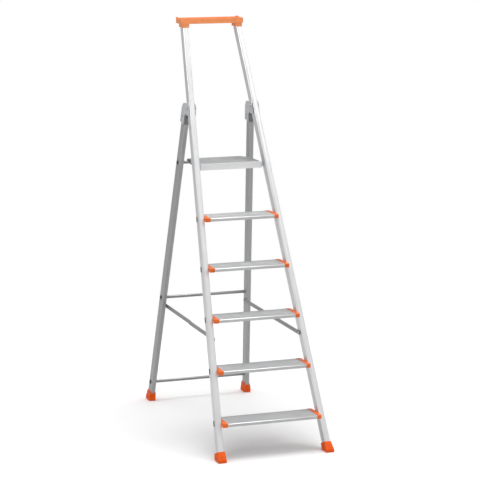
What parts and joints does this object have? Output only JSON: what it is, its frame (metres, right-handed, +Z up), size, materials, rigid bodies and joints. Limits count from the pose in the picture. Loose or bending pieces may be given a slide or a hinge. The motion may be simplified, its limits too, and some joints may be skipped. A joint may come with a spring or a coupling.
{
  "type": "step ladder",
  "caption": "Folding platform step ladder: leaning front stiles with ribbed treads, tilting platform, tool tray and hinged rear legs.",
  "frame": {"origin": "centre of the open ladder's footprint, on the floor", "axes": "+Z up, +X to the right seen from the front, +Y towards the rear legs"},
  "size_m": [0.6038, 1.288, 2.089],
  "materials": {
    "stile_aluminium": "satin extruded",
    "tread_aluminium": "ribbed extruded",
    "leg_aluminium": "satin extruded",
    "tube_aluminium": "drawn tube",
    "hinge_aluminium": "pressed plate",
    "stay_steel": "zinc plated",
    "fastener_steel": "zinc plated",
    "bracket_orange": "moulded",
    "tray_orange": "moulded",
    "foot_orange": "moulded, fine grain",
    "black_plastic": "moulded"
  },
  "bodies": {
    "front_frame": {"left_stile": "stile_aluminium", "right_stile": "stile_aluminium", "tread_1": "tread_aluminium", "tread_2": "tread_aluminium", "tread_3": "tread_aluminium", "tread_4": "tread_aluminium", "tread_5": "tread_aluminium", "left_bracket_1": "bracket_orange", "left_bracket_2": "bracket_orange", "left_bracket_3": "bracket_orange", "left_bracket_4": "bracket_orange", "left_bracket_5": "bracket_orange", "right_bracket_1": "bracket_orange", "right_bracket_2": "bracket_orange", "right_bracket_3": "bracket_orange", "right_bracket_4": "bracket_orange", "right_bracket_5": "bracket_orange", "step_plugs": "black_plastic", "top_tray": "tray_orange", "left_front_foot": "foot_orange", "right_front_foot": "foot_orange", "left_hinge_bolt": "fastener_steel", "right_hinge_bolt": "fastener_steel", "hinge_washers": "black_plastic", "platform_brackets": "hinge_aluminium", "front_stay_studs": "fastener_steel"},
    "rear_frame": {"left_rear_leg": "leg_aluminium", "right_rear_leg": "leg_aluminium", "platform_tube": "tube_aluminium", "upper_cross_tube": "tube_aluminium", "lower_cross_tube": "tube_aluminium", "tube_plugs": "black_plastic", "left_hinge_outer_plate": "hinge_aluminium", "left_hinge_inner_plate": "hinge_aluminium", "right_hinge_outer_plate": "hinge_aluminium", "right_hinge_inner_plate": "hinge_aluminium", "left_hinge_block": "black_plastic", "right_hinge_block": "black_plastic", "hinge_rivets": "fastener_steel", "left_rear_foot": "foot_orange", "right_rear_foot": "foot_orange", "rear_stay_studs": "fastener_steel"},
    "platform": {"platform_deck": "tread_aluminium", "platform_beam": "tread_aluminium", "left_platform_rail": "hinge_aluminium", "right_platform_rail": "hinge_aluminium", "left_platform_hook": "black_plastic", "right_platform_hook": "black_plastic", "platform_pins": "fastener_steel"},
    "left_front_link_body": {"left_front_link": "stay_steel"},
    "left_rear_link_body": {"left_rear_link": "stay_steel"},
    "right_front_link_body": {"right_front_link": "stay_steel"},
    "right_rear_link_body": {"right_rear_link": "stay_steel"}
  },
  "joints": [
    {"name": "rear_fold", "type": "hinge", "parent": "front_frame", "child": "rear_frame", "pos_m": [0, 0.183, 1.64], "axis": [-1, 0, 0], "range_deg": [0, 36]},
    {"name": "platform_tilt", "type": "hinge", "parent": "front_frame", "child": "platform", "pos_m": [0, 0.06411, 1.352], "axis": [1, 0, 0], "range_deg": [0, 64.8]},
    {"name": "left_front_link_swing", "type": "hinge", "parent": "front_frame", "child": "left_front_link_body", "pos_m": [0, -0.34305, 0.547], "axis": [-1, 0, 0], "range_deg": [0, 82.31]},
    {"name": "left_rear_link_swing", "type": "hinge", "parent": "rear_frame", "child": "left_rear_link_body", "pos_m": [0, 0.47563, 0.547], "axis": [1, 0, 0], "range_deg": [0, 116.87]},
    {"name": "right_front_link_swing", "type": "hinge", "parent": "front_frame", "child": "right_front_link_body", "pos_m": [0, -0.34305, 0.547], "axis": [-1, 0, 0], "range_deg": [0, 82.31]},
    {"name": "right_rear_link_swing", "type": "hinge", "parent": "rear_frame", "child": "right_rear_link_body", "pos_m": [0, 0.47563, 0.547], "axis": [1, 0, 0], "range_deg": [0, 116.87]}
  ],
  "couplings": [
    {"joint": "platform_tilt", "follows": "rear_fold", "ratio": 1.8},
    {"joint": "left_front_link_swing", "follows": "rear_fold", "ratio": 2.286},
    {"joint": "left_rear_link_swing", "follows": "rear_fold", "ratio": 3.246},
    {"joint": "right_front_link_swing", "follows": "rear_fold", "ratio": 2.286},
    {"joint": "right_rear_link_swing", "follows": "rear_fold", "ratio": 3.246}
  ]
}
